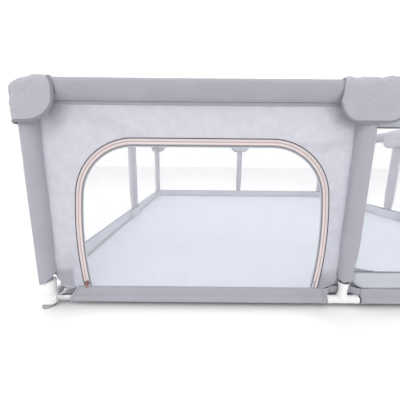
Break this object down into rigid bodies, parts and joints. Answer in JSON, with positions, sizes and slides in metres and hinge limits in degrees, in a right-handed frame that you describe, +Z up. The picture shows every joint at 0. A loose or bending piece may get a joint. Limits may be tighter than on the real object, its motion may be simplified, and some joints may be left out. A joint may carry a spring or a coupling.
{
  "type": "playpen",
  "caption": "Square soft-sided playpen on a padded tube frame, with net walls, capped corners, suction feet, a floor mat and an arched zip doorway whose flap folds down.",
  "frame": {"origin": "centre of the footprint, on the floor", "axes": "+Z up; the front, with the doorway, faces -Y; the doorway is in the bay on the -X side"},
  "size_m": [1.845, 1.845, 0.6515],
  "materials": {
    "white_plastic": "satin white moulding",
    "grey_plastic": "matt",
    "steel_tube": "polished plated steel",
    "grey_rubber": "soft, matt",
    "foam": "soft foam",
    "grey_fabric": "plain weave",
    "cap_fabric": "plain weave",
    "panel_fabric": "translucent dense net",
    "net_fabric": "open net",
    "mat_fabric": "coated woven fabric",
    "binding_fabric": "woven tape",
    "zip_tape": "woven tape",
    "zip_metal": "satin"
  },
  "bodies": {
    "pen": {"bottom_corner_connector_back_left": "white_plastic", "bottom_corner_connector_back_right": "white_plastic", "bottom_corner_connector_front_left": "white_plastic", "bottom_corner_connector_front_right": "white_plastic", "bottom_rail_sleeves_back": "grey_fabric", "bottom_rail_sleeves_front": "grey_fabric", "bottom_rail_sleeves_left": "grey_fabric", "bottom_rail_sleeves_right": "grey_fabric", "bottom_rail_tubes_back": "steel_tube", "bottom_rail_tubes_front": "steel_tube", "bottom_rail_tubes_left": "steel_tube", "bottom_rail_tubes_right": "steel_tube", "bottom_tee_connector_back": "white_plastic", "bottom_tee_connector_front": "white_plastic", "bottom_tee_connector_left": "white_plastic", "bottom_tee_connector_right": "white_plastic", "corner_cap_back_left": "cap_fabric", "corner_cap_back_right": "cap_fabric", "corner_cap_front_left": "cap_fabric", "corner_cap_front_right": "cap_fabric", "corner_post_tubes": "steel_tube", "door_panel": "panel_fabric", "floor_mat": "mat_fabric", "mid_cap_back": "cap_fabric", "mid_cap_front": "cap_fabric", "mid_cap_left": "cap_fabric", "mid_cap_right": "cap_fabric", "mid_post_tubes": "steel_tube", "net_panel_front_right": "net_fabric", "net_panels_back": "net_fabric", "net_panels_left": "net_fabric", "net_panels_right": "net_fabric", "post_sleeve_back_left": "grey_fabric", "post_sleeve_back_middle": "grey_fabric", "post_sleeve_back_right": "grey_fabric", "post_sleeve_front_left": "grey_fabric", "post_sleeve_front_middle": "grey_fabric", "post_sleeve_front_right": "grey_fabric", "post_sleeve_left_middle": "grey_fabric", "post_sleeve_right_middle": "grey_fabric", "suction_foot_back_left": "grey_rubber", "suction_foot_back_right": "grey_rubber", "suction_foot_front_left": "grey_rubber", "suction_foot_front_right": "grey_rubber", "top_corner_connectors": "grey_plastic", "top_rail_covers_back": "grey_fabric", "top_rail_covers_front": "grey_fabric", "top_rail_covers_left": "grey_fabric", "top_rail_covers_right": "grey_fabric", "top_rail_pads": "foam", "top_rail_tubes": "steel_tube", "top_tee_connectors": "grey_plastic", "zip_tape_panel": "zip_tape"},
    "flap": {"door_flap": "net_fabric", "flap_binding": "binding_fabric", "zip_tape_flap": "zip_tape"},
    "slider": {"zip_slider": "zip_metal"},
    "pull": {"zip_pull": "zip_metal"}
  },
  "joints": [
    {"name": "flap_hinge", "type": "hinge", "parent": "pen", "child": "flap", "pos_m": [-0.431, -0.89, 0.064], "axis": [1, 0, 0], "range_deg": [0, 95]},
    {"name": "slider_track", "type": "hinge", "parent": "pen", "child": "slider", "pos_m": [0.269, -0.89, 0.216], "axis": [0, 1, 0], "range_deg": [0, 13.5]},
    {"name": "pull_pin", "type": "hinge", "parent": "slider", "child": "pull", "pos_m": [-0.77647, -0.8975, 0.07596], "axis": [-0.9906, 0, -0.1365], "range_deg": [0, 170]}
  ]
}
